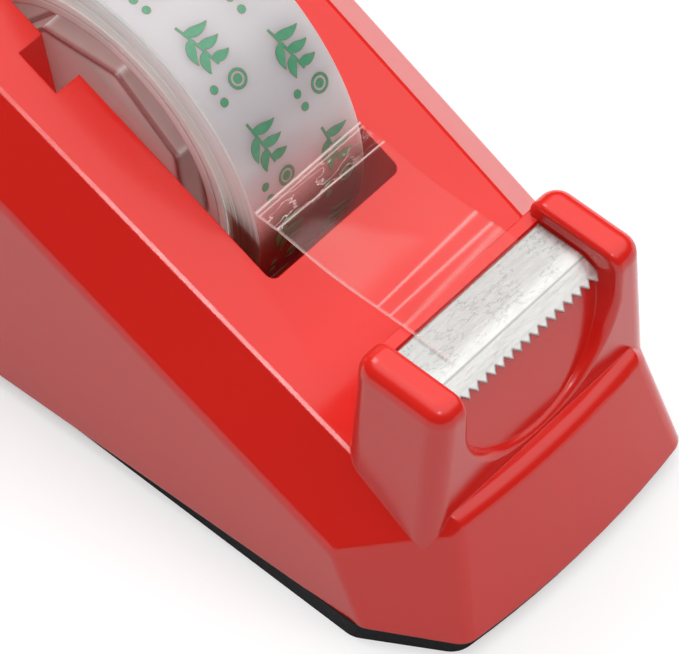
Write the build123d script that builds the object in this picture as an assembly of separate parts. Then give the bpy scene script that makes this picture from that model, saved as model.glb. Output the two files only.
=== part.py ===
from build123d import *
import os
from math import asin, cos, hypot, radians, sin, tan

# Overall plan of the shell at its foot
nose_x = 59.0
back_x = -59.0
front_half = 20.4
front_bow = 1.5
chamfer_x = 46.2
chamfer_width = 6.7
side_taper = tan(radians(2.4))
side_draft = tan(radians(2.9))
front_lean = tan(radians(15.5))
rear_lean = tan(radians(8.0))
wall = 2.4

# Sloped deck, side facets and crest
deck_tan = tan(radians(23.75))
deck_low_z = 25.1
deck_inset = 0.9
deck_taper = tan(radians(1.4))
facet_angle = 51.0
crest_radius = 17.0
shoulder_radius = 3.0
front_radius = 3.0
edge_radius = 2.0
ridge_radius = 2.5
ridge_relief = 0.02
deck_break = 0.15
ledge_z = 21.6

# Cutter head with its cheeks, seat and finger recess
head_back_x = 36.6
head_front_x = 51.3
cheek_wall = 7.0
cheek_wall_z = 20.0
head_draft = tan(radians(5.4))
head_corner = 2.8
cheek_round = 2.6
cheek_inner_round = 1.0
seat_half = 13.5
seat_z = 38.7
cheek_rise = 3.3
lip_end_x = 38.4
lip_rise = 0.5
recess_low_z = 22.6
recess_straight = 0.1
recess_top_depth = 4.2
recess_low_depth = 0.9

# Tape roll, core, hub and axle
tape_width = 19.0
roll_radius = 28.0
wound_gap = 0.05
core_radius = 22.5
core_wall = 1.3
hub_fit = 0.1
drum_wall = 1.5
web_depth = 3.4
web_thick = 1.5
boss_radius = 16.5
boss_turn = 73.0
boss_proud = 0.3
boss_wall = 1.3
bearing_wall = 1.8
axle_radius = 3.2
axle_fit = 0.05
axle_x = -14.3
axle_z = 33.4

# Tape well and axle slots
well_side_gap = 2.2
well_front_gap = 4.1
well_rear_gap = 5.0
well_corner = 1.2
well_wall = 2.0
slot_width = 5.6
slot_side_gap = 0.15
slot_end_gap = 0.25
slot_depth = 4.0
slot_floor_gap = 0.2
slot_lean = 10.0
slot_wall = 2.0
flat_start_gap = 0.6

# Cutter blade
blade_side_gap = 0.25
blade_thick = 0.5
blade_back_gap = 0.4
blade_leg = 3.0
blade_slot_gap = 0.1
blade_setback = 5.5
blade_bend_radius = 2.5
flange_run = 3.25
flange_drop = 1.63
tooth_count = 17
tooth_depth = 1.0

# Free end of the tape
strip_thick = 0.2
strip_gap = 0.25
strip_start = 40.0
peel_radius = 0.8
fold_reach = 3.1
fold_rise = 0.95
fold_radius = 0.8
sag_run = 8.7
sag_drop = 0.35
sag_radius = 40.0
strip_end_gap = 1.55

# Base cover, screws, ballast and pad
pad_thick = 3.0
pad_front_inset = 1.2
pad_rear_inset = 1.5
pad_side_out = 0.35
pad_rear_out = 0.8
pad_chamfer_x = 44.9
pad_corner = 3.5
cover_thick = 1.6
cover_gap = 0.2
screw_radius = 1.4
screw_length = 9.0
screw_head_radius = 2.8
screw_head_depth = 0.9
screw_gap = 0.05
screw_tip_gap = 1.0
post_radius = 3.5
post_height = 12.0
post_offset = 0.9
ballast_gap = 1.5
ballast_height = 10.0
ballast_rear_x = -40.0
ballast_front_x = 45.0

side_half = front_half + chamfer_width
deck_half = front_half - deck_inset
pad_side_half = side_half + pad_side_out
pad_rear_half = side_half + pad_rear_out
head_top_z = seat_z + cheek_rise
lip_z = seat_z + lip_rise
foot_z = pad_thick
cover_top_z = foot_z + cover_thick
far = 400.0
on_floor = (Align.CENTER, Align.CENTER, Align.MIN)


def half_space(point, normal):
    plane = Plane(origin=point, z_dir=normal)
    return plane * Pos(0, 0, -far / 2) * Box(far, far, far)


def middle(edge):
    return edge.position_at(0.5)


def heading(edge):
    return edge.tangent_at(0.5)


def wedge(inset, low_z):
    """Walls of the shell behind the front, open at the top."""
    solid = Pos(0, 0, low_z + far / 8) * Box(far / 2, far / 4, far / 4)
    for side in (1, -1):
        point = (chamfer_x, side * (side_half - inset), foot_z)
        solid &= half_space(point, (side_taper, side, side_draft))
    solid &= half_space((back_x + inset, 0, foot_z), (-1, 0, rear_lean))
    return solid


def facet_normal(side, angle):
    """Normal of the plane that holds the deck's edge and falls away to the side by the angle."""
    along = Vector(-1, side * deck_taper, deck_tan)
    down = Vector(0, side, -tan(radians(angle)))
    normal = along.cross(down).normalized()
    return normal if normal.Z > 0 else normal * -1


def chamfer_normal(side):
    run = Vector(nose_x - front_bow - chamfer_x, front_half - side_half, 0).normalized()
    return Vector(-run.Y, side * run.X, 0)


def under_facets(solid, angle, inset):
    for side in (1, -1):
        normal = facet_normal(side, angle)
        solid &= half_space(Vector(head_back_x, side * deck_half, deck_low_z) - normal * inset, normal)
    return solid


def front_form(inset, low_z, corner=0.0):
    """Bowed front with its two chamfers, leaning back."""
    bow_radius = (front_half**2 + front_bow**2) / (2 * front_bow)
    low_radius = bow_radius - inset + front_lean * (foot_z - low_z)
    height = far / 5
    centre_x = nose_x - bow_radius
    solid = Solid.make_cone(low_radius, low_radius - front_lean * height, height)
    solid = Pos(centre_x, 0, low_z) * solid
    solid &= Pos(centre_x + far / 2, 0, 0) * Box(far, far / 3, far)
    for side in (1, -1):
        normal = chamfer_normal(side)
        point = Vector(chamfer_x, side * side_half, foot_z) - normal * inset
        solid &= half_space(point, normal + Vector(0, 0, front_lean))
    if corner:
        upright = [e for e in solid.edges() if abs(heading(e).Z) > 0.9 and middle(e).X > chamfer_x]
        solid = fillet(upright, corner)
    return solid


def soft_sides(solid):
    """Round the long edges between facets and walls, and the upright rear corners with them."""
    long_edges = [e for e in solid.edges() if abs(heading(e).Y) < 0.5 and middle(e).Z > foot_z + 1]
    return fillet([e for e in long_edges if abs(middle(e).Y) > deck_half + 5], shoulder_radius)


def shell_form(inset, low_z, soft):
    """Outer form of the shell, or its hollow when inset."""
    walls = wedge(inset, low_z)
    normal = Vector(deck_tan, 0, 1).normalized()
    deck_point = Vector(head_back_x, 0, deck_low_z) - normal * inset
    rear = walls & half_space(deck_point, normal)
    crest = rear.edges().filter_by(Axis.Y).sort_by(Axis.Z)[-1]
    rear = under_facets(fillet(crest, crest_radius - inset), facet_angle, inset)
    nose = walls & half_space((0, 0, ledge_z - inset), (0, 0, 1))
    nose &= half_space(((head_back_x + head_front_x) / 2, 0, 0), (-1, 0, 0))
    nose = under_facets(nose, facet_angle, inset)
    if not soft:
        return (rear + nose) & front_form(inset, low_z)
    rear = under_facets(soft_sides(rear), facet_angle / 2, deck_break)
    return (rear + soft_sides(nose)) & front_form(inset, low_z, front_radius)


axle_frame = Pos(axle_x, 0, axle_z) * Rot(0, -slot_lean, 0)
hub_half_width = tape_width / 2 + boss_proud
well_half = tape_width / 2 + well_side_gap
well_front_x = axle_x + roll_radius + well_front_gap
well_rear_x = axle_x - roll_radius - well_rear_gap
well_mid_x = (well_front_x + well_rear_x) / 2
well_length = well_front_x - well_rear_x
slot_reach = well_half + slot_depth
slot_floor = axle_radius + slot_floor_gap
seat_top_z = seat_z + blade_thick
blade_width = 2 * (seat_half - blade_side_gap)
blade_back_x = lip_end_x + blade_back_gap
blade_bend_x = head_front_x - blade_setback
tip_x = blade_bend_x + flange_run
tip_z = seat_top_z - flange_drop
recess_top_x = head_front_x - recess_top_depth
recess_low_x = head_front_x - recess_low_depth
post_x = (well_front_x + well_wall + post_offset, well_rear_x - well_wall - post_offset)
post_y = well_half + well_wall + post_offset
post_spots = [(x, side * post_y) for x in post_x for side in (1, -1)]

# Housing: outer form, with the edges round the front chamfers and the ridge rounded
body = shell_form(0.0, foot_z, True)
corner_edges = []
for side in (1, -1):
    chamfer_face = chamfer_normal(side) + Vector(0, 0, front_lean)
    line = facet_normal(side, facet_angle).cross(chamfer_face).normalized()
    straight = body.edges().filter_by(GeomType.LINE)
    corner_edges += [e for e in straight if abs(heading(e).dot(line)) > 0.9999]
body = fillet(corner_edges, edge_radius)
ridge_form = front_form(-ridge_relief, foot_z - 1, front_radius)
ridge_form &= half_space((0, 0, ledge_z + ridge_relief), (0, 0, 1))
ridge_rim = [e for e in ridge_form.edges() if middle(e).Z > ledge_z and middle(e).X > head_front_x]
ridge_form = fillet(ridge_rim, ridge_radius)
ridge_cut = Box(far / 4, far / 4, far / 4, align=(Align.MIN, Align.CENTER, Align.MIN))
body -= Pos(head_front_x - 1, 0, ledge_z - 2 * ridge_radius) * ridge_cut - ridge_form

# Housing: cutter head
head_low_z = 10.0
head_half = seat_half + cheek_wall
low_half = head_half + head_draft * (cheek_wall_z - head_low_z)
top_half = head_half - head_draft * (head_top_z - cheek_wall_z)
head_profile = Polygon((-low_half, head_low_z), (low_half, head_low_z), (top_half, head_top_z),
                       (-top_half, head_top_z), align=None)
head = extrude(Plane.YZ * head_profile, head_front_x - head_back_x)
head = Pos(head_back_x, 0, 0) * head
upright = [e for e in head.edges() if abs(heading(e).Z) > 0.9]
head = fillet(upright, head_corner)
top_rim = [e for e in head.edges() if middle(e).Z > head_top_z - 0.1]
head = fillet(top_rim, cheek_round)
seat_cut = Box(far, 2 * seat_half, far, align=on_floor)
head -= Pos(lip_end_x + far / 2, 0, seat_z) * seat_cut
head -= Pos(0, 0, lip_z) * seat_cut

# Slope under the blade's toothed edge
slope_run = Vector(tip_x - blade_bend_x, 0, tip_z - seat_top_z).normalized()
slope_normal = Vector(-slope_run.Z, 0, slope_run.X)
slope_point = Vector(blade_bend_x, 0, seat_top_z) - slope_normal * blade_thick
above_slope = Plane(origin=slope_point, x_dir=slope_run, z_dir=slope_normal)
slope_reach = 2 * (head_front_x - blade_bend_x)
head -= above_slope * Box(slope_reach, 2 * seat_half, slope_reach, align=on_floor)

# Finger recess below the teeth, as wide as the gap between the cheeks
slope_exit_z = slope_point.Z + (head_front_x - slope_point.X) * slope_run.Z / slope_run.X
recess_centre_z = slope_exit_z - recess_straight
recess_outline = Ellipse(seat_half, recess_centre_z - recess_low_z)
recess_outline += Pos(0, seat_half) * Rectangle(2 * seat_half, 2 * seat_half)
recess = Pos(0, 0, recess_centre_z) * extrude(Plane.YZ * recess_outline, far / 4)
recess_lean = (recess_low_x - recess_top_x) / (seat_z - recess_low_z)
recess &= half_space((recess_top_x, 0, seat_z), (-1, 0, -recess_lean))
head -= recess
rim = [e for e in head.edges() if abs(middle(e).Y) < seat_half + 0.1]
rim = [e for e in rim if middle(e).X > head_front_x - 0.1 and middle(e).Z > recess_low_z - 0.1]
head = fillet(rim, cheek_inner_round)

# Housing: hollow, well, slots and screw posts
hollow = shell_form(wall, foot_z - 5, False)
hollow_front_x = blade_bend_x - wall / 2
hollow_back_x = blade_back_x + blade_thick + wall
head_hollow = Box(hollow_front_x - hollow_back_x, 2 * (seat_half - wall), seat_z - wall - head_low_z)
head_hollow = Pos((hollow_front_x + hollow_back_x) / 2, 0, (seat_z - wall + head_low_z) / 2) * head_hollow
housing = body + head - hollow - head_hollow

well_box = Box(well_length, 2 * well_half, far)
well_box = fillet(well_box.edges().filter_by(Axis.Z), well_corner)
well_outer = Box(well_length + 2 * well_wall, 2 * (well_half + well_wall), far)
well_outer = fillet(well_outer.edges().filter_by(Axis.Z), well_corner + well_wall)
above_cover = Pos(0, 0, cover_top_z + far / 2) * Box(far, far, far)
inside = body & above_cover
lining = Pos(well_mid_x, 0, 0) * well_outer & inside
block_size = slot_width + 2 * slot_wall
slot_block = Box(block_size, 2 * (slot_reach + slot_wall), far, align=on_floor)
slot_block = axle_frame * Pos(0, 0, -slot_floor - slot_wall) * slot_block & inside
slot = Box(slot_width, 2 * slot_reach, far, align=on_floor)
slot = axle_frame * Pos(0, 0, -slot_floor) * slot
housing += lining
housing += slot_block
for x, y in post_spots:
    post = Cylinder(post_radius, post_height, align=on_floor)
    housing += Pos(x, y, cover_top_z) * post
housing -= Pos(well_mid_x, 0, 0) * well_box
housing -= slot
pilot_depth = screw_length + screw_tip_gap - cover_thick
for x, y in post_spots:
    pilot = Cylinder(screw_radius + screw_gap, pilot_depth, align=on_floor)
    housing -= Pos(x, y, cover_top_z) * pilot
leg_slot_thick = blade_thick + 2 * blade_slot_gap
leg_slot_width = blade_width + 2 * blade_slot_gap
leg_slot_depth = blade_leg + blade_slot_gap
leg_slot = Box(leg_slot_thick, leg_slot_width, leg_slot_depth, align=on_floor)
housing -= Pos(blade_back_x + blade_thick / 2, 0, seat_z - leg_slot_depth) * leg_slot

# Base cover with recessed holes
cover_inset = wall + cover_gap
cover = wedge(cover_inset, foot_z) & front_form(cover_inset, foot_z)
cover &= half_space((0, 0, cover_top_z), (0, 0, 1))
for x, y in post_spots:
    hole = Cylinder(screw_radius + screw_gap, 4 * cover_thick)
    sink = Cylinder(screw_head_radius + screw_gap, screw_head_depth, align=on_floor)
    cover -= Pos(x, y, foot_z) * hole
    cover -= Pos(x, y, foot_z) * sink

# Screws, heads flush with the cover
screw = Cylinder(screw_radius, screw_length, align=on_floor)
screw += Cylinder(screw_head_radius, screw_head_depth, align=on_floor)
screws = Compound([Pos(x, y, foot_z) * screw for x, y in post_spots])

# Ballast: iron block round the front and sides of the well
ballast_half = side_half - wall - 2 * ballast_gap
ballast = Box(ballast_front_x - ballast_rear_x, 2 * ballast_half, ballast_height)
ballast = Pos((ballast_front_x + ballast_rear_x) / 2, 0, cover_top_z + ballast_height / 2) * ballast
well_room = Box(far, 2 * (well_half + well_wall + ballast_gap), far)
ballast -= Pos(well_front_x + well_wall + ballast_gap - far / 2, 0, 0) * well_room
for x, y in post_spots:
    ballast -= Pos(x, y, 0) * Cylinder(post_radius + ballast_gap, far)
room = shell_form(wall + ballast_gap, foot_z - 5, False)
ballast &= room

# Anti-slip pad
pad_nose_x = nose_x - pad_front_inset
pad_back_x = back_x + pad_rear_inset
pad_points = [(pad_nose_x - front_bow, -front_half), (pad_nose_x - front_bow, front_half),
              (pad_chamfer_x, pad_side_half), (pad_back_x, pad_rear_half),
              (pad_back_x, -pad_rear_half), (pad_chamfer_x, -pad_side_half)]
pad = extrude(Polygon(*pad_points, align=None), pad_thick)
bow_chord = Plane.XY * ThreePointArc(pad_points[0], (pad_nose_x, 0), pad_points[1])
bow_face = make_face([bow_chord, Line(pad_points[1], pad_points[0])])
pad += extrude(bow_face, pad_thick, dir=(0, 0, 1))
pad = fillet(pad.edges().filter_by(Axis.Z), pad_corner)

# Cutter blade
leg_front_x = blade_back_x + blade_thick
leg_low_z = seat_z - blade_leg
blade_profile = Polygon((blade_back_x, seat_top_z), (blade_back_x, leg_low_z), (leg_front_x, leg_low_z),
                        (leg_front_x, seat_z), (blade_bend_x, seat_z), (blade_bend_x, seat_top_z),
                        align=None)
blade = extrude(Plane.XZ * blade_profile, blade_width / 2, both=True)
flange_length = hypot(tip_x - blade_bend_x, tip_z - seat_top_z)
pitch = blade_width / tooth_count
edge_points = [(0.0, -blade_width / 2)]
for index in range(tooth_count):
    start = -blade_width / 2 + index * pitch
    edge_points.append((flange_length - tooth_depth, start))
    edge_points.append((flange_length, start + pitch / 2))
edge_points.append((flange_length - tooth_depth, blade_width / 2))
edge_points.append((0.0, blade_width / 2))
flange_plane = Plane(origin=(blade_bend_x, 0, seat_top_z), x_dir=slope_run, z_dir=slope_normal)
flange = extrude(flange_plane * Polygon(*edge_points, align=None), -blade_thick)
bend_fill = Plane.XZ * Polygon((blade_bend_x, seat_top_z), (blade_bend_x, seat_z),
                               (slope_point.X, slope_point.Z), align=None)
blade += flange
blade += extrude(bend_fill, blade_width / 2, both=True)
bend_line = [e for e in blade.edges().filter_by(Axis.Y) if abs(middle(e).X - blade_bend_x) < 0.01]
blade = fillet([e for e in bend_line if middle(e).Z > seat_z + blade_thick / 2], blade_bend_radius)

# Axle: round rod with flatted ends that drop into the slots
axle_length = 2 * (slot_reach - slot_end_gap)
axle = axle_frame * Rot(90, 0, 0) * Cylinder(axle_radius, axle_length)
flat_width = slot_width - 2 * slot_side_gap
flat_start = well_half - flat_start_gap
for side in (1, -1):
    for edge_side in (1, -1):
        trim = Box(axle_radius, axle_length, 4 * axle_radius)
        offset_y = side * (flat_start + axle_length / 2)
        offset_x = edge_side * (flat_width / 2 + axle_radius / 2)
        axle -= axle_frame * Pos(offset_x, offset_y, 0) * trim

# Hub: two clear halves that meet in the middle of the roll
drum_radius = core_radius - core_wall - hub_fit
bore = axle_radius + axle_fit
web_y = tape_width / 2 - web_depth - web_thick


def disc(radius, start, end):
    blank = Cylinder(radius, end - start, align=on_floor)
    return Pos(0, 0, start) * blank


def octagon(radius, start, end):
    blank = extrude(RegularPolygon(radius, 8, rotation=boss_turn), end - start)
    return Pos(0, 0, start) * blank


hub = disc(drum_radius, 0, tape_width / 2) - disc(drum_radius - drum_wall, -1, tape_width)
hub += disc(drum_radius - drum_wall / 2, web_y, web_y + web_thick)
boss_hole = octagon(boss_radius - boss_wall, -1, hub_half_width - boss_wall)
hub += octagon(boss_radius, web_y, hub_half_width)
hub -= boss_hole
hub += disc(bore + bearing_wall, 0, hub_half_width)
hub -= disc(bore, -1, tape_width)
hub_left = Pos(axle_x, 0, axle_z) * Rot(90, 0, 0) * hub
hub_right = mirror(hub_left, Plane.XZ)

# Core ring and wound tape
def ring(outer, inner):
    blank = Cylinder(outer, tape_width) - Cylinder(inner, tape_width)
    return Pos(axle_x, 0, axle_z) * Rot(90, 0, 0) * blank


core = ring(core_radius, core_radius - core_wall)
roll = ring(roll_radius, core_radius + wound_gap)

# Free end: follows the roll, peels off, runs to the fold, sags and passes over the lip to the cutter
strip_run_z = max(lip_z, seat_top_z) + strip_gap + strip_thick / 2
fold_x = axle_x + roll_radius + fold_reach
fold_z = strip_run_z + fold_rise
sag_x = fold_x + sag_run
sag_z = strip_run_z - sag_drop
hug_radius = roll_radius + strip_gap + strip_thick / 2
peel_reach = hug_radius + peel_radius
leave = asin((fold_z + peel_radius - axle_z) / peel_reach)
start = radians(strip_start)
peel_mid = radians(225) + leave / 2
peel_x = axle_x + peel_reach * cos(leave)
peel_z = fold_z + peel_radius
peel_point = (peel_x + peel_radius * cos(peel_mid), peel_z + peel_radius * sin(peel_mid))


def on_roll(angle):
    return (axle_x + hug_radius * cos(angle), axle_z + hug_radius * sin(angle))


path = ThreePointArc(on_roll(start), on_roll((start + leave) / 2), on_roll(leave))
path += ThreePointArc(on_roll(leave), peel_point, (peel_x, fold_z))
path += FilletPolyline((peel_x, fold_z), (fold_x, fold_z), (sag_x, sag_z), (head_back_x, strip_run_z),
                       (tip_x - strip_end_gap, strip_run_z), radius=[fold_radius, sag_radius, sag_radius])
strip = extrude(Plane.XZ * trace(path, strip_thick), tape_width / 2, both=True)

parts = {
    "housing": housing,
    "base_cover": cover,
    "base_screws": screws,
    "ballast": ballast,
    "anti_slip_pad": pad,
    "cutter_blade": blade,
    "hub_axle": axle,
    "hub_half_left": hub_left,
    "hub_half_right": hub_right,
    "tape_core": core,
    "tape_roll": roll,
    "tape_strip": strip,
}
os.makedirs("parts", exist_ok=True)
for name, shape in parts.items():
    export_step(shape, f"parts/{name}.step")
    print(name, shape.is_valid, len(shape.solids()), round(shape.volume, 1))
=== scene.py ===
"""Desktop tape dispenser: materials, wound tape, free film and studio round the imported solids."""

import math
import random

import bpy
from mathutils import Matrix, Vector


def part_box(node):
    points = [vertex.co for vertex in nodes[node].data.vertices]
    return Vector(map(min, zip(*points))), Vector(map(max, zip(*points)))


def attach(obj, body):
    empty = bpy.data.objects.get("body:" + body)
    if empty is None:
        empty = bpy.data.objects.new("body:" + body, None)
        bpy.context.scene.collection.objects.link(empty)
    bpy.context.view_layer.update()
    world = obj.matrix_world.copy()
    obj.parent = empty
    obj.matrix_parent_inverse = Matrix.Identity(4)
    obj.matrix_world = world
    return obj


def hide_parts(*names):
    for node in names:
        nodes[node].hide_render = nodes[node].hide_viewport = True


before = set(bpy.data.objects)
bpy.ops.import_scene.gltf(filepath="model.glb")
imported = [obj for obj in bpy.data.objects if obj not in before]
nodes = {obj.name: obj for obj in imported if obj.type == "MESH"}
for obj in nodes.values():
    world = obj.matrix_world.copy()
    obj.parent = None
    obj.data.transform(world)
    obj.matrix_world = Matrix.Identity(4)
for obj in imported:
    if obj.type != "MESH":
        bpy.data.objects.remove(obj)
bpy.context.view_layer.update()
scene = bpy.context.scene
scene.view_settings.view_transform = "Standard"

MM = 0.001
WHITE = (1.0, 1.0, 1.0)
AXLE_WAY = (0.0, 1.0, 0.0)

# Camera, solved from the photograph's edges. Metres, degrees, pixels of a 679 by 654 image.
IMAGE_W, IMAGE_H = 679, 654
FOCAL_PX = 5000.0
AZIMUTH, ELEVATION, ROLL = 42.72, 54.0, -0.64
ANCHOR = Vector((0.042, 0.0, 0.0))
ANCHOR_PX = (481.2, 487.2)
DISTANCE = 0.6305
SENSOR_MM = 36.0
NEAREST = 0.01

# Lamps: place, side lengths and power. The edge lamp gives the deck's long edge its highlight.
LAMPS = {
    "key": ((-0.63, 0.05, 0.90), (0.40, 0.40), 2.2),
    "edge": ((0.37, -0.39, 0.93), (0.15, 0.15), 1.0),
}
LAMP_AIM = Vector((0.01, 0, 0.03))

# Sky: its brightest direction, and its strength from the dim horizon to that direction
SKY_WAY = (-0.05, 0.22, 0.974)
SKY_RAMP = {"From Min": 0.52, "From Max": 0.82, "To Min": 0.05, "To Max": 1.70}

# Roll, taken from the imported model
roll_low, roll_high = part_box("tape_roll")
core_low, core_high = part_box("tape_core")
ROLL_X = (roll_low.x + roll_high.x) / 2
ROLL_Z = (roll_low.z + roll_high.z) / 2
ROLL_RADIUS = (roll_high.x - roll_low.x) / 2
CORE_RADIUS = (core_high.x - core_low.x) / 2
TAPE_HALF = (roll_high.y - roll_low.y) / 2

# Print on the roll: sprigs of a stem with leaves, then a ring with a dot and two dots
PRINT_COLUMNS = 12
PRINT_LIFT = 0.03 * MM
PRINT_THICK = 0.02 * MM
PRINT_ROWS = (-4.7 * MM, 4.7 * MM)
STEM_STEP = 1.1 * MM
STEM_RISE = 0.5 * MM * math.sin(math.radians(28.0))
STEM_HALF = 0.16 * MM
LEAVES = ((-2, 1), (-1, -1), (0, 1), (1, -1), (2, 1))
LEAF_TURN = math.radians(52.0)
LEAF_CURL = 0.5
LEAF_WIDTH = 1.25 * MM
LEAF_TIP = 0.03 * MM
# Place along and across the tape, radius and line width
RINGS = (
    (6.2 * MM, 1.6 * MM, 1.15 * MM, 0.34 * MM),
    (6.2 * MM, 1.6 * MM, 0.35 * MM, 0.5 * MM),
    (5.4 * MM, -1.9 * MM, 0.3 * MM, 0.5 * MM),
    (7.4 * MM, -1.7 * MM, 0.3 * MM, 0.5 * MM),
)

# Free end of the film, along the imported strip. It fades out where it lies on the blade's plate.
FILM_LEAD = math.radians(1.5)
FILM_THICK = 0.05 * MM
FILM_STEP = 0.15 * MM
FILM_COLUMNS = 40
HUG_RADIUS = ROLL_RADIUS + 0.16 * MM
PEEL_RADIUS = 0.8 * MM
FOLD = (16.8 * MM, 40.5 * MM)
FOLD_RADIUS = 0.8 * MM
SAG = (25.5 * MM, 39.2 * MM)
LIP = (36.6 * MM, 39.55 * MM)
FILM_END = (47.4 * MM, 39.55 * MM)
SOFT_BEND = 40.0 * MM
BEND_STEPS = 8
PLATE_FADE = (43.5 * MM, 45.5 * MM)

# Crinkles near the fold: height, rate, and the place and reach of the zone that has them
WAVE_COUNT = 5
WAVE_HEIGHT = 0.03 * MM
WAVE_RATE = 2.2
WAVE_ZONE = (FOLD[0] - 1.5 * MM, 2.2 * MM)

# Creases before the lip, raised ridges with a painted highlight: place on the middle line, lean, half width
# and highlight brightness
CREASES = (
    (32.45 * MM, -0.037, 0.16 * MM, 0.20),
    (34.75 * MM, -0.005, 0.16 * MM, 0.18),
    (36.6 * MM, -0.06, 0.3 * MM, 0.10),
)
CREASE_HEIGHT = 0.10 * MM
CREASE_WIDENS = 0.9

# Painted highlights as lines at the peel (offset, half width, brightness), at the fold (lean, half
# width, brightness) and along the near edge
PEEL_HIGHLIGHTS = ((0.05 * MM, 0.11 * MM, 0.7), (0.6 * MM, 0.09 * MM, 0.3))
FOLD_HIGHLIGHT = (0.03, 0.10 * MM, 0.4)
NEAR_EDGE_LIGHT = 0.30

# Veil of the film, and the pale patch after the fold: its slanted border and its run
VEIL, PALE_VEIL = 0.022, 0.045
PALE_BORDER = (20.0 * MM, -3.9 * MM, 0.594)
PALE_SOFT = 1.2 * MM
PALE_RUN = ((17.5 * MM, 19.5 * MM), (28.0 * MM, 31.5 * MM))


def place_camera():
    az, el, roll = (math.radians(v) for v in (AZIMUTH, ELEVATION, ROLL))
    back = Vector((math.sin(az) * math.cos(el), -math.cos(az) * math.cos(el), math.sin(el)))
    right = Vector((math.cos(az), math.sin(az), 0.0))
    up = back.cross(right)
    right, up = (
        right * math.cos(roll) + up * math.sin(roll),
        up * math.cos(roll) - right * math.sin(roll),
    )
    across = (ANCHOR_PX[0] - IMAGE_W / 2) * DISTANCE / FOCAL_PX
    above = (IMAGE_H / 2 - ANCHOR_PX[1]) * DISTANCE / FOCAL_PX
    eye = ANCHOR + back * DISTANCE - right * across - up * above
    data = bpy.data.cameras.new("photo_camera")
    data.sensor_width = SENSOR_MM
    data.lens = FOCAL_PX / IMAGE_W * SENSOR_MM
    data.clip_start = NEAREST
    camera = bpy.data.objects.new("photo_camera", data)
    turn = Matrix((right, up, back)).transposed().to_4x4()
    camera.matrix_world = Matrix.Translation(eye) @ turn
    scene.collection.objects.link(camera)
    scene.camera = camera


# Node helpers. The owner is a material or the world.


def add(owner, kind, values=None, **settings):
    node = owner.node_tree.nodes.new(kind)
    for key, value in settings.items():
        setattr(node, key, value)
    for key, value in (values or {}).items():
        node.inputs[key].default_value = value
    return node


def link(owner, source, target):
    owner.node_tree.links.new(source, target)


def new_material(name, values):
    mat = bpy.data.materials.new(name)
    mat.use_nodes = True
    shader = mat.node_tree.nodes["Principled BSDF"]
    for key, value in values.items():
        shader.inputs[key].default_value = value
    return mat, shader


def surface(mat, shader, colour, roughness, normal=None):
    """Link the shader's main sockets and hand back the material."""
    link(mat, colour, shader.inputs["Base Color"])
    link(mat, roughness, shader.inputs["Roughness"])
    if normal:
        link(mat, normal, shader.inputs["Normal"])
    return mat


def noise(mat, scale, detail=3.0, stretch=(1.0, 1.0, 1.0), rough=0.5):
    coords = add(mat, "ShaderNodeTexCoord")
    mapping = add(mat, "ShaderNodeMapping", {"Scale": stretch})
    texture = add(mat, "ShaderNodeTexNoise", {"Scale": scale, "Detail": detail, "Roughness": rough})
    link(mat, coords.outputs["Object"], mapping.inputs["Vector"])
    link(mat, mapping.outputs["Vector"], texture.inputs["Vector"])
    return texture.outputs["Fac"]


def calc(owner, operation, first, second=None, clamp=False):
    """Arithmetic on a socket; the second value is a socket, a number or left out."""
    node = add(owner, "ShaderNodeMath", operation=operation, use_clamp=clamp)
    link(owner, first, node.inputs[0])
    if hasattr(second, "links"):
        link(owner, second, node.inputs[1])
    elif second is not None:
        node.inputs[1].default_value = second
    return node.outputs["Value"]


def spread(mat, source, low, high, start=0.3, end=0.7):
    """A value that goes from low to high as the source goes from start to end."""
    ends = {"From Min": start, "From Max": end, "To Min": low, "To Max": high}
    node = add(mat, "ShaderNodeMapRange", ends)
    link(mat, source, node.inputs["Value"])
    return node.outputs["Result"]


def blend_colour(mat, fac, low, high):
    """Mix of two colours, each a tuple or a socket."""
    node = add(mat, "ShaderNodeMix", data_type="RGBA")
    for socket, colour in ((node.inputs[6], low), (node.inputs[7], high)):
        if hasattr(colour, "links"):
            link(mat, colour, socket)
        else:
            socket.default_value = (*colour, 1.0)
    link(mat, fac, node.inputs[0])
    return node.outputs[2]


def times(mat, first, second):
    """Product of two colours."""
    node = add(mat, "ShaderNodeMix", data_type="RGBA", blend_type="MULTIPLY")
    node.inputs[0].default_value = 1.0
    link(mat, first, node.inputs[6])
    link(mat, second, node.inputs[7])
    return node.outputs[2]


def ramp_colour(mat, fac, stops):
    """Colour that runs through the stops, each a place from 0 to 1 and its colour."""
    ramp = add(mat, "ShaderNodeValToRGB")
    bar = ramp.color_ramp
    while len(bar.elements) < len(stops):
        bar.elements.new(0.5)
    for element, (where, colour) in zip(bar.elements, stops):
        element.position = where
        element.color = (*colour, 1.0)
    link(mat, fac, ramp.inputs["Fac"])
    return ramp.outputs["Color"]


def painted_well_shade(mat, tones, distance):
    """Painted shade: colour by how open a place is, the first tone deep in the well, the last in the open.
    """
    sight = add(mat, "ShaderNodeAmbientOcclusion", {"Distance": distance}, samples=8)
    return ramp_colour(mat, sight.outputs["AO"], tones)


def hairlines(mat, texture, width, strength):
    """Thin lines where a texture crosses its middle value."""
    offset = calc(mat, "SUBTRACT", texture, 0.5)
    return spread(mat, calc(mat, "ABSOLUTE", offset), strength, 0.0, start=0.0, end=width)


def bump(mat, height, strength, distance, normal=None):
    node = add(mat, "ShaderNodeBump", {"Strength": strength, "Distance": distance})
    link(mat, height, node.inputs["Height"])
    if normal:
        link(mat, normal, node.inputs["Normal"])
    return node.outputs["Normal"]


def soft_edges(mat, radius):
    return add(mat, "ShaderNodeBevel", {"Radius": radius}, samples=6).outputs["Normal"]


def attribute(mat, name):
    return add(mat, "ShaderNodeAttribute", attribute_name=name).outputs["Fac"]


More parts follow.
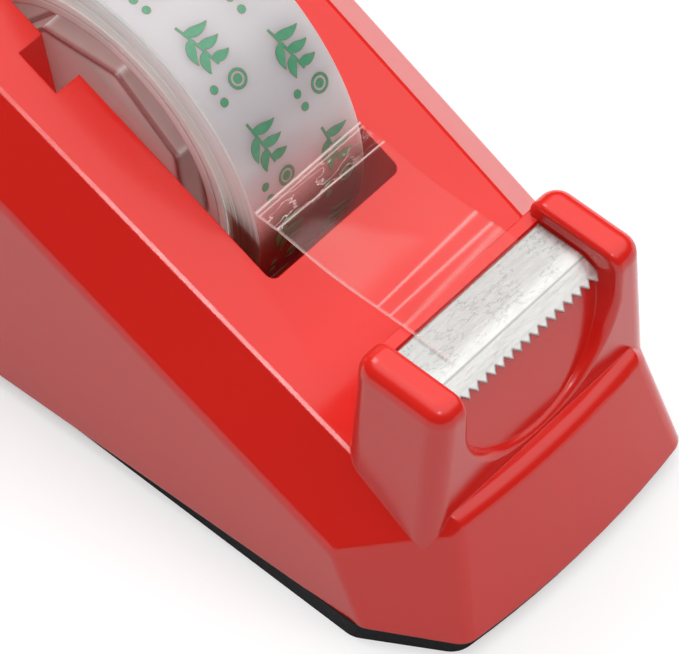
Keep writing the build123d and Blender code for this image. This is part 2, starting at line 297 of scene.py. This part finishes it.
def size_along(mat, vector, way):
    """How much of a vector points along a way, to either end."""
    dot = add(mat, "ShaderNodeVectorMath", operation="DOT_PRODUCT")
    dot.inputs[1].default_value = way
    link(mat, vector, dot.inputs[0])
    return calc(mat, "ABSOLUTE", dot.outputs["Value"])


def radius_from_axle(mat):
    """Distance from the roll's axis."""
    coords = add(mat, "ShaderNodeTexCoord")
    flat = add(mat, "ShaderNodeVectorMath", operation="MULTIPLY_ADD")
    flat.inputs[1].default_value = (1.0, 0.0, 1.0)
    flat.inputs[2].default_value = (-ROLL_X, 0.0, -ROLL_Z)
    length = add(mat, "ShaderNodeVectorMath", operation="LENGTH")
    link(mat, coords.outputs["Object"], flat.inputs[0])
    link(mat, flat.outputs["Vector"], length.inputs[0])
    return length.outputs["Value"]


# Materials. Each range of roughness stays on one side of 0.274: the denoiser takes smoother
# places for mirrors, and a range across that value leaves patches.


def shell_red():
    """Glossy moulded plastic with a faint orange peel."""
    mat, shader = new_material("shell_red", {"IOR": 1.5, "Specular IOR Level": 0.5})
    cloud = noise(mat, scale=38.0, detail=2.0)
    tone = blend_colour(mat, cloud, (0.80, 0.020, 0.013), (0.84, 0.024, 0.016))
    roughness = spread(mat, noise(mat, scale=260.0, detail=4.0), 0.15, 0.21)
    rounding = soft_edges(mat, 0.3 * MM)
    peel = noise(mat, scale=1300.0, detail=2.0)
    normal = bump(mat, peel, strength=0.04, distance=0.02 * MM, normal=rounding)
    return surface(mat, shader, tone, roughness, normal)


def pad_foam():
    mat, shader = new_material("pad_foam", {"IOR": 1.45, "Specular IOR Level": 0.3})
    cells = noise(mat, scale=1500.0, detail=4.0)
    tone = blend_colour(mat, cells, (0.009, 0.009, 0.011), (0.026, 0.026, 0.030))
    roughness = spread(mat, cells, 0.75, 0.95)
    return surface(mat, shader, tone, roughness, bump(mat, cells, strength=0.5, distance=0.15 * MM))


def cover_painted_shade():
    """Base cover: its upper side is the floor of the well, and its dark red, darker than the shell, is
    painted shade.
    """
    mat, shader = new_material("cover_painted_shade", {"IOR": 1.5})
    grain = noise(mat, scale=2200.0, detail=3.0)
    tone = blend_colour(mat, grain, (0.36, 0.010, 0.007), (0.42, 0.013, 0.010))
    roughness = spread(mat, grain, 0.5, 0.65)
    return surface(mat, shader, tone, roughness, bump(mat, grain, strength=0.3, distance=0.05 * MM))


def metal(name, dark, light, roughness, scale, depth, edge):
    """Even grainy metal, for the pieces inside."""
    mat, shader = new_material(name, {"Metallic": 1.0})
    grain = noise(mat, scale, detail=6.0, rough=0.62)
    tone = blend_colour(mat, grain, dark, light)
    normal = bump(mat, grain, strength=0.35, distance=depth, normal=soft_edges(mat, edge))
    return surface(mat, shader, tone, spread(mat, grain, *roughness), normal)


def axle_white():
    mat, shader = new_material("axle_white", {
        "IOR": 1.5,
        "Subsurface Weight": 0.1,
        "Subsurface Radius": (1.0 * MM, 0.8 * MM, 0.7 * MM),
        "Subsurface Scale": 1.0,
    })
    tone = blend_colour(mat, noise(mat, scale=160.0), (0.70, 0.62, 0.59), (0.78, 0.71, 0.68))
    return surface(mat, shader, tone, spread(mat, noise(mat, scale=700.0), 0.35, 0.5))


def blade_steel():
    """Plate dull and wrinkled under the film with painted shade along the wrinkles, a painted highlight
    along the bend, cream on the toothed flange.
    """
    mat, shader = new_material("blade_steel", {"Metallic": 1.0})
    coords = add(mat, "ShaderNodeTexCoord")
    place = add(mat, "ShaderNodeSeparateXYZ")
    link(mat, coords.outputs["Object"], place.inputs["Vector"])
    run = spread(mat, place.outputs["X"], 0.0, 1.0, start=38.0 * MM, end=50.0 * MM)
    # Greys along the blade: the dull plate, a painted highlight along the bend, a dark line of painted
    # shade at the groove, then the cream flange
    greys = (
        (0.0, 0.53),
        (0.44, 0.57),
        (0.57, 0.72),
        (0.65, 0.76),
        (0.67, 0.40),
        (0.69, 0.74),
        (0.82, 0.70),
    )
    cream_with_painted_bend_light = [(where, (grey, grey * 0.99, grey * 0.955)) for where, grey in greys]
    base = ramp_colour(mat, run, cream_with_painted_bend_light)
    grain = noise(mat, scale=1900.0, detail=6.0, stretch=(1.0, 0.16, 1.0), rough=0.65)
    dull = blend_colour(mat, grain, (0.56, 0.56, 0.57), (1.06, 1.06, 1.06))
    # Dark hairlines on the plate are painted shade along its wrinkles
    cracks = noise(mat, scale=520.0, detail=5.0, stretch=(1.0, 0.4, 1.0), rough=0.62)
    lines = hairlines(mat, cracks, width=0.02, strength=1.0)
    on_plate = spread(mat, place.outputs["X"], 1.0, 0.25, start=44.8 * MM, end=45.8 * MM)
    crease_painted_light_and_shade = blend_colour(mat, calc(mat, "MULTIPLY", lines, on_plate), WHITE, (0.70, 0.71, 0.72))
    tone = times(mat, times(mat, base, dull), crease_painted_light_and_shade)
    wrinkle = noise(mat, scale=620.0, detail=5.0, stretch=(1.0, 0.3, 1.0), rough=0.6)
    rounding = soft_edges(mat, 0.3 * MM)
    normal = bump(mat, wrinkle, strength=0.8, distance=0.14 * MM, normal=rounding)
    return surface(mat, shader, tone, spread(mat, grain, 0.29, 0.42), normal)


def clear_plastic(name, thin, thick, roughness, weight, rim=None):
    """Milky clear plastic. Where a rim is given: painted shade on upright walls, painted dark red
    refraction lines round a boss and painted highlights at its corners.
    """
    mat, shader = new_material(name, {"IOR": 1.46, "Transmission Weight": weight})
    tone = blend_colour(mat, noise(mat, scale=120.0, detail=2.0), thick, thin)
    if rim:
        tone = boss_painted_light(mat, tone, *rim)
    ripple = noise(mat, scale=350.0, detail=1.0)
    rounding = soft_edges(mat, 0.55 * MM)
    normal = bump(mat, ripple, strength=0.15, distance=0.1 * MM, normal=rounding)
    return surface(mat, shader, tone, spread(mat, noise(mat, scale=500.0), *roughness), normal)


def boss_painted_light(mat, tone, inner, outer, dark, corner_highlight):
    """Painted shade: upright walls get a duller tone than faces that look along the axle. Between the two
    radii, painted dark red refraction lines round the boss and painted highlights at its corners.
    """
    fade = 0.4 * MM
    sharp = add(mat, "ShaderNodeNewGeometry").outputs["Normal"]
    wide = soft_edges(mat, 1.4 * MM)
    # Painted shade: upright walls take this duller tone
    wall_painted_shade = blend_colour(mat, noise(mat, scale=200.0, detail=2.0), (0.52, 0.35, 0.33), (0.60, 0.42, 0.40))
    facing = size_along(mat, sharp, AXLE_WAY)
    tone = blend_colour(mat, spread(mat, facing, 0.0, 1.0, start=0.2, end=0.8), wall_painted_shade, tone)
    match = add(mat, "ShaderNodeVectorMath", operation="DOT_PRODUCT")
    link(mat, wide, match.inputs[0])
    link(mat, sharp, match.inputs[1])
    edge = spread(mat, match.outputs["Value"], 1.0, 0.0, start=0.95, end=0.999)
    reach = radius_from_axle(mat)
    edge = calc(mat, "MULTIPLY", edge, spread(mat, reach, 0.0, 1.0, start=inner, end=inner + fade))
    edge = calc(mat, "MULTIPLY", edge, spread(mat, reach, 1.0, 0.0, start=outer, end=outer + fade))
    slant = size_along(mat, wide, AXLE_WAY)
    around = calc(mat, "MULTIPLY", edge, spread(mat, slant, 0.0, 1.0, start=0.12, end=0.30))
    corner = calc(mat, "MULTIPLY", edge, spread(mat, slant, 1.0, 0.0, start=0.08, end=0.20))
    return blend_colour(mat, corner, blend_colour(mat, around, tone, dark), corner_highlight)


def tape_wound():
    """Translucent wound tape, lined on its end faces: pale in the open, dark red in the well from painted
    shade and painted red bounce light.
    """
    mat, shader = new_material("tape_wound", {
        "IOR": 1.5,
        "Subsurface Weight": 0.9,
        "Subsurface Radius": (9.0 * MM, 9.5 * MM, 9.0 * MM),
        "Subsurface Scale": 1.0,
        "Coat Weight": 0.3,
        "Coat Roughness": 0.10,
    })
    lines = add(mat, "ShaderNodeTexNoise", {"Scale": 5200.0, "Detail": 3.0}, noise_dimensions="1D")
    link(mat, radius_from_axle(mat), lines.inputs["W"])
    cloud = noise(mat, scale=90.0, detail=2.0)
    # Painted shade and painted red bounce light by how open the surface is, on the outer turn and then on
    # the end faces
    open_painted_shade = (
        (0.20, (0.24, 0.03, 0.02)),
        (0.75, (0.26, 0.10, 0.08)),
        (0.90, (0.92, 0.55, 0.54)),
        (0.985, (0.68, 0.65, 0.67)),
    )
    end_face_painted_shade = (
        (0.13, (0.17, 0.08, 0.06)),
        (0.47, (0.22, 0.10, 0.08)),
        (0.57, (0.80, 0.96, 0.91)),
        (0.66, (0.84, 1.0, 0.97)),
    )
    haze = blend_colour(mat, cloud, (0.94, 0.94, 0.94), WHITE)
    body = times(mat, painted_well_shade(mat, open_painted_shade, distance=16 * MM), haze)
    layers = blend_colour(mat, lines.outputs["Fac"], (0.86, 0.92, 0.89), WHITE)
    edge = times(mat, painted_well_shade(mat, end_face_painted_shade, distance=12 * MM), layers)
    tone = blend_colour(mat, attribute(mat, "end_face"), body, edge)
    return surface(mat, shader, tone, spread(mat, cloud, 0.19, 0.26, start=0.0, end=1.0))


def print_green():
    """Worn green ink, with painted shade and painted red bounce light that darken and redden it down in the
    well.
    """
    mat, shader = new_material("print_green", {"IOR": 1.5, "Coat Weight": 0.3})
    worn = noise(mat, scale=900.0, detail=4.0)
    ink = blend_colour(mat, worn, (0.06, 0.30, 0.145), (0.15, 0.44, 0.27))
    # Painted shade and painted red bounce light: the ink darkens and reddens deeper in the well
    fade = (
        (0.10, (0.9, 0.12, 0.06)),
        (0.45, (1.0, 0.45, 0.25)),
        (0.65, (1.2, 0.85, 0.7)),
        (0.85, WHITE),
    )
    tone = times(mat, painted_well_shade(mat, fade, distance=16 * MM), ink)
    return surface(mat, shader, tone, spread(mat, worn, 0.29, 0.4))


def tape_film():
    """Clear film: a thin veil, with painted highlights along its creases and painted glints where it is
    crinkled between peel and fold.
    """
    mat, shader = new_material("tape_film", {"IOR": 1.5, "Roughness": 0.12})
    cloud = spread(mat, noise(mat, scale=120.0, detail=3.0), 0.8, 1.2)
    veil = calc(mat, "MULTIPLY", attribute(mat, "veil"), cloud)
    # Painted glints in the crinkled zone and painted highlights along creases, peel, fold and near edge
    crinkles = noise(mat, scale=420.0, detail=3.0, stretch=(1.6, 0.45, 1.0))
    lines = hairlines(mat, crinkles, width=0.012, strength=0.5)
    glint = calc(mat, "MULTIPLY", lines, attribute(mat, "crinkle_glint_zone"))
    bright = calc(mat, "MAXIMUM", glint, attribute(mat, "crease_painted_light_and_shade"))
    link(mat, calc(mat, "ADD", veil, bright, clamp=True), shader.inputs["Alpha"])
    link(mat, blend_colour(mat, bright, (0.95, 0.62, 0.58), WHITE), shader.inputs["Base Color"])
    wrinkle = noise(mat, scale=900.0, detail=3.0, stretch=(1.0, 0.25, 1.0))
    link(mat, bump(mat, wrinkle, strength=0.3, distance=0.08 * MM), shader.inputs["Normal"])
    return mat


def dress(node, mat):
    materials = nodes[node].data.materials
    materials.clear()
    materials.append(mat)


def dress_all():
    """A material for each solid. Light passes the clear ones without a shadow."""
    dress("housing", shell_red())
    dress("base_cover", cover_painted_shade())
    steel = {"dark": (0.50, 0.50, 0.49), "light": (0.86, 0.86, 0.84), "roughness": (0.29, 0.42)}
    dress("base_screws", metal("screw_steel", **steel, scale=800.0, depth=0.02 * MM, edge=0.1 * MM))
    iron = {"dark": (0.05, 0.05, 0.05), "light": (0.14, 0.14, 0.14), "roughness": (0.55, 0.75)}
    dress("ballast", metal("ballast_iron", **iron, scale=500.0, depth=0.2 * MM, edge=0.4 * MM))
    dress("anti_slip_pad", pad_foam())
    dress("cutter_blade", blade_steel())
    dress("hub_axle", axle_white())
    hub = clear_plastic(
        "hub_clear",
        thin=(1.0, 1.0, 0.98),
        thick=(0.97, 0.95, 0.93),
        roughness=(0.06, 0.14),
        weight=0.10,
        # rim: inner and outer radius, then the colour of the painted dark red refraction lines and of the
        # painted corner highlights
        rim=(13.0 * MM, 16.8 * MM, (0.30, 0.03, 0.03), (1.0, 0.97, 0.96)),
    )
    dress("hub_half_left", hub)
    dress("hub_half_right", hub)
    core = clear_plastic(
        "core_clear",
        thin=(0.97, 0.94, 0.92),
        thick=(0.90, 0.86, 0.84),
        roughness=(0.08, 0.16),
        weight=0.2,
    )
    dress("tape_core", core)
    for node in ("hub_half_left", "hub_half_right", "tape_core"):
        nodes[node].visible_shadow = False


# Meshes


def mesh_object(name, points, faces, mat, smooth=True):
    mesh = bpy.data.meshes.new(name)
    mesh.from_pydata(points, [], faces)
    mesh.validate()
    mesh.materials.append(mat)
    for polygon in mesh.polygons:
        polygon.use_smooth = smooth
    piece = bpy.data.objects.new(name, mesh)
    scene.collection.objects.link(piece)
    return piece


def set_attribute(piece, name, values):
    data = piece.data.attributes.new(name, "FLOAT", "POINT")
    data.data.foreach_set("value", values)


def on_cylinder(radius, angle, across):
    return (ROLL_X + radius * math.cos(angle), across, ROLL_Z + radius * math.sin(angle))


def wound_tape():
    """Wound film: a ring whose end faces show the edges of the turns."""
    turns = 46
    around = 160
    step_depth = 0.07 * MM
    rim = 0.12 * MM
    inner = CORE_RADIUS + 0.05 * MM
    sharp_angle = math.radians(35)
    draw = random.Random(11)
    face = []
    for index in range(turns + 1):
        radius = inner + (ROLL_RADIUS - rim - inner) * index / turns
        face.append((radius, TAPE_HALF - step_depth * draw.random()))
    outer = [(ROLL_RADIUS - rim * 0.3, TAPE_HALF - rim * 0.7), (ROLL_RADIUS, TAPE_HALF - 2 * rim)]
    half = face + outer
    profile = half + [(radius, -across) for radius, across in reversed(half)]
    points = []
    sides = []
    for ring in range(around):
        angle = 2 * math.pi * ring / around
        for radius, across in profile:
            points.append(on_cylinder(radius, angle, across))
            sides.append(1.0 if radius < ROLL_RADIUS - rim / 2 else 0.0)
    count = len(profile)
    faces = []
    for ring in range(around):
        here, there = ring * count, (ring + 1) % around * count
        for index in range(count):
            after = (index + 1) % count
            faces.append((here + index, here + after, there + after, there + index))
    piece = mesh_object("wound_tape", points, faces, tape_wound())
    set_attribute(piece, "end_face", sides)
    piece.data.set_sharp_from_angle(angle=sharp_angle)
    piece.visible_shadow = False
    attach(piece, "spool")
    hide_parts("tape_roll")


def strip_shape(line, widths):
    """Quads along a flat line of (u, v) points with a half width at each."""
    points = []
    for index, (u, v) in enumerate(line):
        before, after = line[max(index - 1, 0)], line[min(index + 1, len(line) - 1)]
        du, dv = after[0] - before[0], after[1] - before[1]
        length = math.hypot(du, dv)
        points.append((u - dv / length * widths[index], v + du / length * widths[index]))
        points.append((u + dv / length * widths[index], v - du / length * widths[index]))
    faces = [(2 * i, 2 * i + 1, 2 * i + 3, 2 * i + 2) for i in range(len(line) - 1)]
    return points, faces


def leaf_shape(start, turn, length, width):
    """A leaf that curls as it grows and is widest below its middle."""
    steps = 9
    line = []
    widths = []
    for index in range(steps + 1):
        share = index / steps
        sweep = turn + LEAF_CURL * share
        reach = length * share
        line.append((start[0] + reach * math.cos(sweep), start[1] + reach * math.sin(sweep)))
        widths.append(LEAF_TIP + width / 2 * math.sin(math.pi * share**0.8))
    return strip_shape(line, widths)


def ring_shape(centre, radius, width):
    steps = 28
    line = []
    for index in range(steps + 1):
        angle = 2 * math.pi * index / steps
        line.append((centre[0] + radius * math.cos(angle), centre[1] + radius * math.sin(angle)))
    return strip_shape(line, [width / 2] * (steps + 1))


def roll_print():
    """Printed sprigs, rings and dots on the outer turn, in two staggered rows."""
    points = []
    faces = []

    def stamp(shape):
        base = len(points)
        for u, v in shape[0]:
            points.append(on_cylinder(ROLL_RADIUS + PRINT_LIFT, -u / ROLL_RADIUS, v))
        faces.extend(tuple(base + corner for corner in quad) for quad in shape[1])

    pitch = 2 * math.pi * ROLL_RADIUS / PRINT_COLUMNS
    for column in range(PRINT_COLUMNS):
        for row, across in enumerate(PRINT_ROWS):
            u = (column + 0.5 * row) * pitch
            stem = [(u + k * STEM_STEP, across + k * STEM_RISE) for k in range(-3, 4)]
            stamp(strip_shape(stem, [STEM_HALF] * len(stem)))
            for k, side in LEAVES:
                root = (u + k * STEM_STEP, across + k * STEM_RISE)
                length = (3.1 - 0.25 * k) * MM
                stamp(leaf_shape(root, side * LEAF_TURN, length, LEAF_WIDTH))
            for along, aside, radius, width in RINGS:
                stamp(ring_shape((u + along, across + aside), radius, width))
    piece = mesh_object("roll_print", points, faces, print_green(), smooth=False)
    skin = piece.modifiers.new("thickness", "SOLIDIFY")
    skin.thickness = PRINT_THICK
    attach(piece, "spool")


def corner_arc(before, corner, after, radius):
    """Points of the curve that rounds a corner of the film's path."""
    corner = Vector(corner)
    a, b = Vector(before) - corner, Vector(after) - corner
    reach = radius / math.tan(a.angle(b) / 2)
    first, last = corner + a.normalized() * reach, corner + b.normalized() * reach
    points = []
    for index in range(BEND_STEPS + 1):
        share = index / BEND_STEPS
        rest = 1 - share
        points.append(tuple(first * rest**2 + corner * 2 * share * rest + last * share**2))
    return points


def film_path():
    """Path of the film from the roll over peel, fold, sag and lip to its end, as (x, z) points."""
    reach = HUG_RADIUS + PEEL_RADIUS
    leave = math.asin((FOLD[1] + PEEL_RADIUS - ROLL_Z) / reach)
    path = []
    for index in range(BEND_STEPS + 1):
        point = on_cylinder(HUG_RADIUS, leave + FILM_LEAD * (1 - index / BEND_STEPS), 0.0)
        path.append((point[0], point[2]))
    peel = (ROLL_X + reach * math.cos(leave), FOLD[1] + PEEL_RADIUS)
    for index in range(1, BEND_STEPS + 1):
        angle = math.pi + leave + (math.pi / 2 - leave) * index / BEND_STEPS
        path.append((peel[0] + PEEL_RADIUS * math.cos(angle), peel[1] + PEEL_RADIUS * math.sin(angle)))
    corners = [path[-1], FOLD, SAG, LIP, FILM_END]
    for index, radius in enumerate((FOLD_RADIUS, SOFT_BEND, SOFT_BEND), start=1):
        path += corner_arc(*corners[index - 1:index + 2], radius)
    path.append(corners[-1])
    return path


def even_steps(path, step_length):
    points = [path[0]]
    for first, last in zip(path, path[1:]):
        gap = math.hypot(last[0] - first[0], last[1] - first[1])
        count = max(1, round(gap / step_length))
        for index in range(1, count + 1):
            share = index / count
            x = first[0] + (last[0] - first[0]) * share
            z = first[1] + (last[1] - first[1]) * share
            points.append((x, z))
    return points


def hill(value, centre, width):
    return math.exp(-(((value - centre) / width) ** 2))


def step(value, low, high):
    share = min(max((value - low) / (high - low), 0.0), 1.0)
    return share * share * (3 - 2 * share)


def crease_ridges(x, across):
    """Height of the creases and their painted highlight at a place on the film."""
    height, light = 0.0, 0.0
    for crease_x, slope, width, strength in CREASES:
        wide = width * (1.0 + CREASE_WIDENS * (across / TAPE_HALF + 1) / 2)
        ridge = hill(x, crease_x + slope * across, wide)
        height += CREASE_HEIGHT * ridge
        light = max(light, strength * ridge)
    return height, light


def peel_and_fold_light(x, across, peel_x):
    peel = sum(strength * hill(x, peel_x + offset, width) for offset, width, strength in PEEL_HIGHLIGHTS)
    slope, width, strength = FOLD_HIGHLIGHT
    return max(peel, strength * hill(x, FOLD[0] + slope * across, width))


def pale_patch(x, across):
    """Share of the pale patch, which ends on a slanted border."""
    border_x, border_y, slope = PALE_BORDER
    patch = step(border_y + slope * (x - border_x) - across, -PALE_SOFT, PALE_SOFT)
    return patch * step(x, *PALE_RUN[0]) * (1 - step(x, *PALE_RUN[1]))


def film():
    """Clear free end: crinkled between peel and fold, with three creases before the lip."""
    line = even_steps(film_path(), FILM_STEP)
    peel_x = min(x for x, z in line if z < FOLD[1] + 0.4 * PEEL_RADIUS)
    draw = random.Random(5)
    waves = [
        (draw.uniform(0.8, 1.8), draw.uniform(-0.5, 0.5), draw.uniform(0, 6.28))
        for _ in range(WAVE_COUNT)
    ]
    points = []
    layers = {"veil": [], "crease_painted_light_and_shade": [], "crinkle_glint_zone": []}
    for row, (x, z) in enumerate(line):
        before, after = line[max(row - 1, 0)], line[min(row + 1, len(line) - 1)]
        run = Vector((after[0] - before[0], after[1] - before[1])).normalized()
        free = step(x, peel_x - 0.3 * MM, peel_x) if z < FOLD[1] + PEEL_RADIUS else 0.0
        shown = 1 - step(x, *PLATE_FADE)
        between_folds = free * (1 - step(x, FOLD[0] - 0.2 * MM, FOLD[0] + 0.4 * MM))
        wave_size = WAVE_HEIGHT * hill(x, *WAVE_ZONE) * free
        for column in range(FILM_COLUMNS + 1):
            across = -TAPE_HALF + 2 * TAPE_HALF * column / FILM_COLUMNS
            # Painted highlights: along the creases, at the peel and the fold, and along the near edge
            height, light = crease_ridges(x, across)
            for pitch, slant, phase in waves:
                height += wave_size * math.sin((x + slant * across) / (pitch * MM) * WAVE_RATE + phase)
            light = max(light, free * peel_and_fold_light(x, across, peel_x))
            if column == 0:
                light = max(light, NEAR_EDGE_LIGHT * free * shown)
            points.append((x - run.y * height, across, z + run.x * height))
            layers["veil"].append(free * shown * (VEIL + PALE_VEIL * pale_patch(x, across)))
            layers["crease_painted_light_and_shade"].append(light)
            layers["crinkle_glint_zone"].append(between_folds * (1 - 0.7 * step(across, -2 * MM, 6 * MM)))
    across_count = FILM_COLUMNS + 1
    faces = []
    for row in range(len(line) - 1):
        for column in range(FILM_COLUMNS):
            corner = row * across_count + column
            faces.append((corner, corner + 1, corner + across_count + 1, corner + across_count))
    piece = mesh_object("tape_film", points, faces, tape_film())
    for name, values in layers.items():
        set_attribute(piece, name, values)
    skin = piece.modifiers.new("thickness", "SOLIDIFY")
    skin.thickness = FILM_THICK
    skin.offset = 0.0
    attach(piece, "axle")
    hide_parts("tape_strip")
    piece.visible_shadow = False


# Stage and light


def floor():
    """Pale floor: seen white, with a duller bounce onto the piece."""
    half = 3.0
    glow = 0.50
    mat, shader = new_material("floor", {"Roughness": 0.9, "Specular IOR Level": 0.1})
    rays = add(mat, "ShaderNodeLightPath")
    seen = rays.outputs["Is Camera Ray"]
    for name in ("Is Glossy Ray", "Is Transmission Ray"):
        seen = calc(mat, "MAXIMUM", seen, rays.outputs[name])
    tone = blend_colour(mat, noise(mat, scale=30.0), (0.54, 0.54, 0.54), (0.56, 0.56, 0.56))
    link(mat, tone, shader.inputs["Base Color"])
    shader.inputs["Emission Color"].default_value = (*WHITE, 1.0)
    link(mat, spread(mat, seen, 0.0, glow, start=0.0, end=1.0), shader.inputs["Emission Strength"])
    corners = [(-half, -half, 0.0), (half, -half, 0.0), (half, half, 0.0), (-half, half, 0.0)]
    piece = mesh_object("floor", corners, [(0, 1, 2, 3)], mat, smooth=False)


def sky():
    """Wide soft light from above, dim towards the horizon on the near side, and seen as white."""
    world = bpy.data.worlds.new("studio")
    scene.world = world
    world.use_nodes = True
    background = world.node_tree.nodes["Background"]
    background.inputs["Color"].default_value = (*WHITE, 1.0)
    coords = add(world, "ShaderNodeTexCoord")
    lean = add(world, "ShaderNodeVectorMath", operation="DOT_PRODUCT")
    lean.inputs[1].default_value = SKY_WAY
    link(world, coords.outputs["Generated"], lean.inputs[0])
    ramp = add(world, "ShaderNodeMapRange", SKY_RAMP, interpolation_type="SMOOTHSTEP")
    link(world, lean.outputs["Value"], ramp.inputs["Value"])
    rays = add(world, "ShaderNodeLightPath")
    seen = calc(world, "MAXIMUM", rays.outputs["Is Camera Ray"], rays.outputs["Is Transmission Ray"])
    strength = add(world, "ShaderNodeMix", {"B": 1.0})
    link(world, seen, strength.inputs["Factor"])
    link(world, ramp.outputs["Result"], strength.inputs["A"])
    link(world, strength.outputs["Result"], background.inputs["Strength"])


def lamp(name, place, size, power):
    data = bpy.data.lights.new(name, "AREA")
    data.energy = power
    data.shape = "RECTANGLE"
    data.size, data.size_y = size
    piece = bpy.data.objects.new(name, data)
    piece.location = place
    piece.rotation_euler = (LAMP_AIM - Vector(place)).to_track_quat("-Z", "Y").to_euler()
    scene.collection.objects.link(piece)


place_camera()
dress_all()
wound_tape()
roll_print()
film()
floor()
sky()
for lamp_name, settings in LAMPS.items():
    lamp(lamp_name, *settings)
